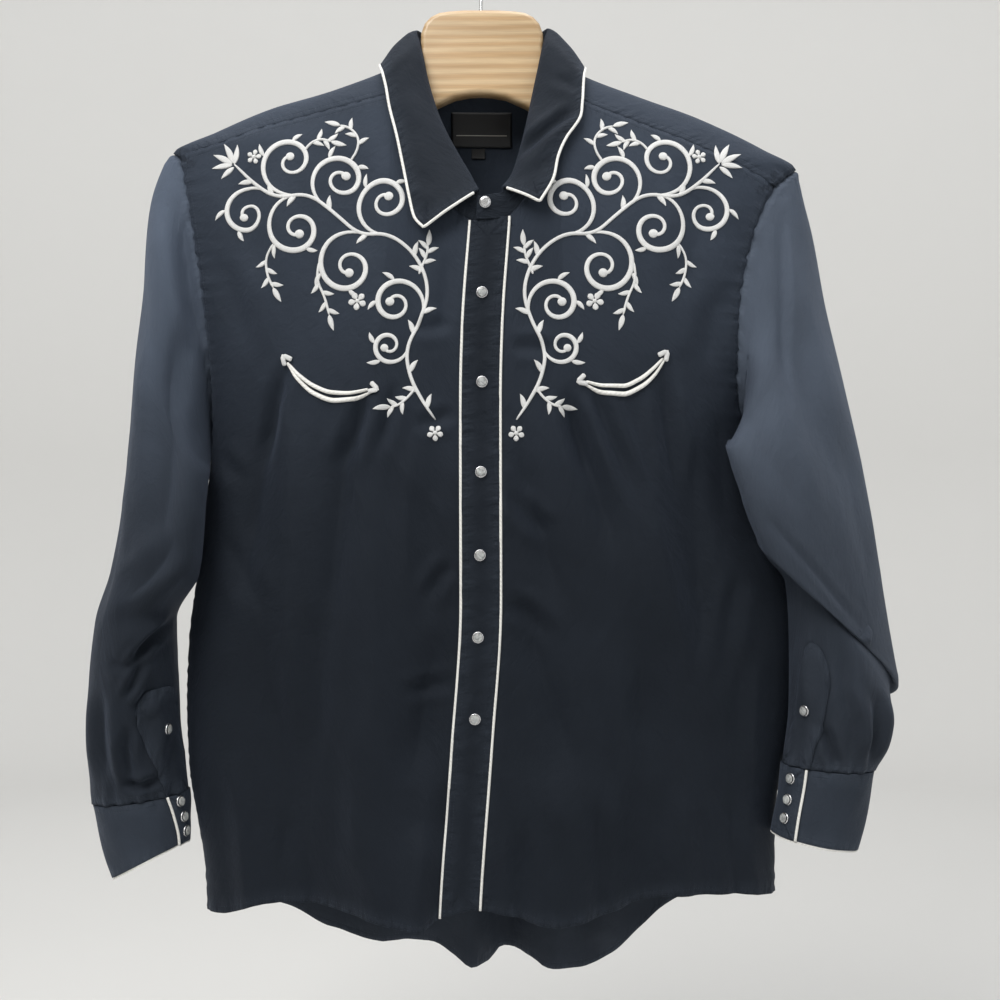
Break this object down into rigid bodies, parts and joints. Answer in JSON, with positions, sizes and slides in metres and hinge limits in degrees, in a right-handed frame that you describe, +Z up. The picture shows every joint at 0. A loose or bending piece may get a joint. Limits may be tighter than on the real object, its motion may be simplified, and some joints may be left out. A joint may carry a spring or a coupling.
{
  "type": "western snap shirt on a wooden hanger",
  "caption": "Dark long-sleeved western shirt with white corded edges, pearl snaps and smile pockets, hanging on a broad wooden coat hanger.",
  "frame": {"origin": "inner crest of the hanger's hook, where a rail bears", "axes": "+Z up, -Y out of the shirt's front, +X to the viewer's right, which is the wearer's left"},
  "size_m": [0.7619, 0.1555, 1.0011],
  "materials": {
    "shirting": "fine plain-weave cotton blend, dark navy black, slight sheen",
    "shirting_bands": "the same cloth doubled and interlined",
    "piping": "white corded piping and satin-stitched tabs",
    "pearl": "pearl cap in a bright metal rim",
    "label_satin": "bare black woven satin",
    "wood": "clear-lacquered pine",
    "steel_wire": "bright plated wire"
  },
  "bodies": {
    "root": {"front_right": "shirting", "front_left": "shirting", "yoke": "shirting", "back": "shirting", "sleeve_right": "shirting", "sleeve_left": "shirting", "placket": "shirting_bands", "cuff_right": "shirting_bands", "cuff_left": "shirting_bands", "sleeve_placket_right": "shirting_bands", "sleeve_placket_left": "shirting_bands", "collar_stand": "shirting_bands", "collar_leaf": "shirting_bands", "placket_piping_right": "piping", "placket_piping_left": "piping", "cuff_piping_right": "piping", "cuff_hem_piping_right": "piping", "cuff_piping_left": "piping", "cuff_hem_piping_left": "piping", "collar_piping": "piping", "pocket_welt_upper_right": "piping", "pocket_welt_lower_right": "piping", "pocket_welt_upper_left": "piping", "pocket_welt_lower_left": "piping", "pocket_tab_inner_right": "piping", "pocket_tab_outer_right": "piping", "pocket_tab_inner_left": "piping", "pocket_tab_outer_left": "piping", "snap_front_1": "pearl", "snap_front_2": "pearl", "snap_front_3": "pearl", "snap_front_4": "pearl", "snap_front_5": "pearl", "snap_front_6": "pearl", "snap_collar": "pearl", "snap_cuff_right_1": "pearl", "snap_cuff_right_2": "pearl", "snap_cuff_right_3": "pearl", "snap_cuff_left_1": "pearl", "snap_cuff_left_2": "pearl", "snap_cuff_left_3": "pearl", "snap_sleeve_right": "pearl", "snap_sleeve_left": "pearl", "neck_label": "label_satin", "size_tab": "label_satin", "hanger_bar": "wood", "hanger_hook": "steel_wire"}
  },
  "joints": []
}
